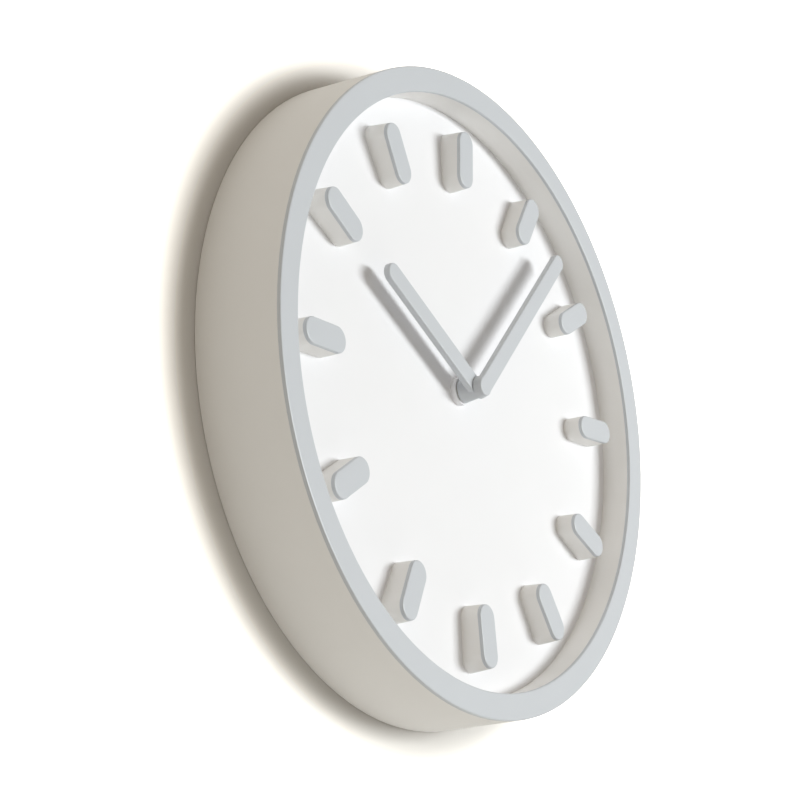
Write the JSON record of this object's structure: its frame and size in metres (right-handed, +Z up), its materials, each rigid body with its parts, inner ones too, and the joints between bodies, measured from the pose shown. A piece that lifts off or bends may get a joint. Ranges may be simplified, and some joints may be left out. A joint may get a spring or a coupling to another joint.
{
  "type": "wall clock",
  "caption": "Round flush wall clock: deep drum case, recessed white dial with raised oblong hour markers, two straight grey hands and a battery quartz movement behind.",
  "frame": {"origin": "centre of the back plane of the case, which lies on the wall, on the axis of the hands", "axes": "+Z up to the 12 o'clock marker, +Y into the wall, the dial faces -Y and +X points to the 3 o'clock marker"},
  "size_m": [0.36, 0.0496, 0.36],
  "materials": {
    "case_white": "satin moulded plastic",
    "front_grey": "fine matt light grey",
    "screw_steel": "zinc plated",
    "hanger_steel": "zinc plated sheet",
    "movement_black": "textured moulded plastic",
    "spindle_brass": "turned",
    "rubber": "plain",
    "wheel_plastic": "natural moulded plastic",
    "spindle_metal": "turned",
    "magnet": "ground",
    "stator_iron": "stamped sheet",
    "bobbin_plastic": "moulded",
    "coil_copper": "enamelled copper wire",
    "board_green": "lacquered board",
    "chip_resin": "poured resin",
    "crystal_can": "drawn can",
    "contact_steel": "nickel plated spring strip",
    "battery_sleeve": "printed sleeve"
  },
  "bodies": {
    "case": {"case_ring": "case_white", "rim_ring": "front_grey", "dial_plate": "case_white", "hour_markers": "case_white", "marker_caps": "front_grey", "dial_screws": "screw_steel", "hanger_plate": "hanger_steel", "hanger_screws": "screw_steel", "movement_front_case": "movement_black", "movement_rear_case": "movement_black", "movement_screws": "screw_steel", "threaded_bush": "spindle_brass", "bush_nut": "spindle_brass", "rubber_washer": "rubber", "stator": "stator_iron", "coil_bobbin": "bobbin_plastic", "coil_winding": "coil_copper", "circuit_board": "board_green", "controller_chip": "chip_resin", "quartz_crystal": "crystal_can", "positive_contact": "contact_steel", "negative_contact": "contact_steel", "battery": "battery_sleeve"},
    "minute_spindle": {"minute_hand": "front_grey", "minute_wheel": "spindle_metal"},
    "hour_pipe": {"hour_hand": "front_grey", "hour_wheel": "wheel_plastic"},
    "setting_shaft": {"reverse_wheel": "wheel_plastic", "setting_knob": "movement_black"},
    "third_arbor": {"third_wheel": "wheel_plastic"},
    "fourth_arbor": {"fourth_wheel": "wheel_plastic"},
    "intermediate_arbor": {"intermediate_wheel": "wheel_plastic"},
    "rotor_arbor": {"rotor_pinion": "wheel_plastic", "rotor_magnet": "magnet"}
  },
  "joints": [
    {"name": "minute_hand_turn", "type": "hinge", "parent": "case", "child": "minute_spindle", "pos_m": [0, -0.02, 0], "axis": [0, 1, 0], "continuous": true},
    {"name": "hour_hand_turn", "type": "hinge", "parent": "case", "child": "hour_pipe", "pos_m": [0, -0.023, 0], "axis": [0, 1, 0], "continuous": true},
    {"name": "setting_knob_turn", "type": "hinge", "parent": "case", "child": "setting_shaft", "pos_m": [-0.01208, -0.015, 0], "axis": [0, 1, 0], "continuous": true},
    {"name": "third_wheel_turn", "type": "hinge", "parent": "case", "child": "third_arbor", "pos_m": [0.00743, -0.018, 0.00886], "axis": [0, 1, 0], "continuous": true},
    {"name": "fourth_wheel_turn", "type": "hinge", "parent": "case", "child": "fourth_arbor", "pos_m": [0.00085, -0.017, 0.0167], "axis": [0, 1, 0], "continuous": true},
    {"name": "intermediate_wheel_turn", "type": "hinge", "parent": "case", "child": "intermediate_arbor", "pos_m": [-0.00759, -0.016, 0.0167], "axis": [0, 1, 0], "continuous": true},
    {"name": "rotor_turn", "type": "hinge", "parent": "case", "child": "rotor_arbor", "pos_m": [-0.01174, -0.017, 0.01077], "axis": [0, 1, 0], "continuous": true}
  ],
  "couplings": [
    {"joint": "hour_hand_turn", "follows": "minute_hand_turn", "ratio": 0.083333},
    {"joint": "setting_knob_turn", "follows": "minute_hand_turn", "ratio": -0.33333},
    {"joint": "third_wheel_turn", "follows": "minute_hand_turn", "ratio": -8},
    {"joint": "fourth_wheel_turn", "follows": "minute_hand_turn", "ratio": 60},
    {"joint": "intermediate_wheel_turn", "follows": "minute_hand_turn", "ratio": -360},
    {"joint": "rotor_turn", "follows": "minute_hand_turn", "ratio": 1800}
  ]
}
